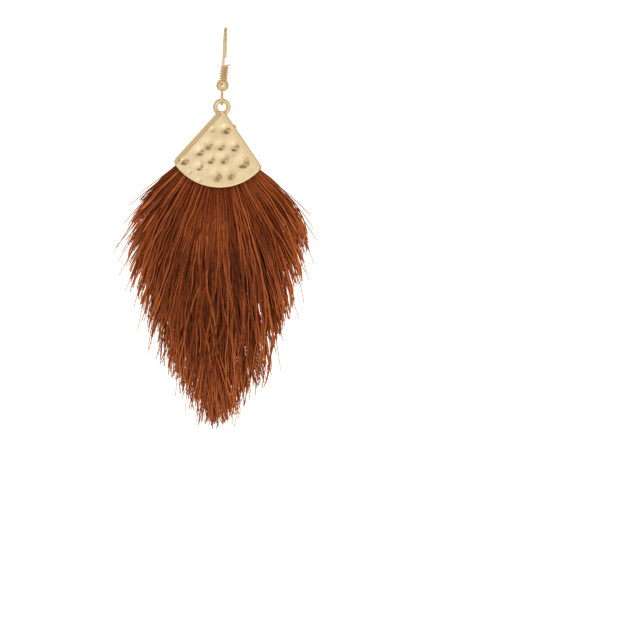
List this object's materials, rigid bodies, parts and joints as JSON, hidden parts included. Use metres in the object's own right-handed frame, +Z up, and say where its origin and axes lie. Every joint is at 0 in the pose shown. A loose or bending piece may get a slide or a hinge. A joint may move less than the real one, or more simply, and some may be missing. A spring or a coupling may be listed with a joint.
{
  "type": "tassel earring",
  "caption": "Drop earring: a round-wire ear hook with bead and coil carries a hollow hammered fan cap, from whose mouth a leaf-shaped tassel of threads hangs and swings.",
  "frame": {"origin": "underside of the crook's top, where the ear wire rests in the ear", "axes": "+Z up, +X along the fan's width to the wearer-facing viewer's right, -Y towards the viewer of the hammered front"},
  "size_m": [0.0464, 0.0131, 0.1013],
  "materials": {
    "gold_wire": "polished pale gold plating on drawn wire",
    "gold_bead": "polished pale gold plating",
    "gold_cast": "satin pale gold plating on a hammered casting",
    "thread": "silky twisted thread, rust brown"
  },
  "bodies": {
    "hook": {"ear_hook": "gold_wire", "coil": "gold_wire", "bead": "gold_bead"},
    "drop": {"cap": "gold_cast", "tassel": "thread"}
  },
  "joints": [
    {"name": "drop_swing", "type": "hinge", "parent": "hook", "child": "drop", "pos_m": [-0.00076, -0.0043, -0.01801], "axis": [1, 0, 0], "range_deg": [-90, 90]}
  ]
}
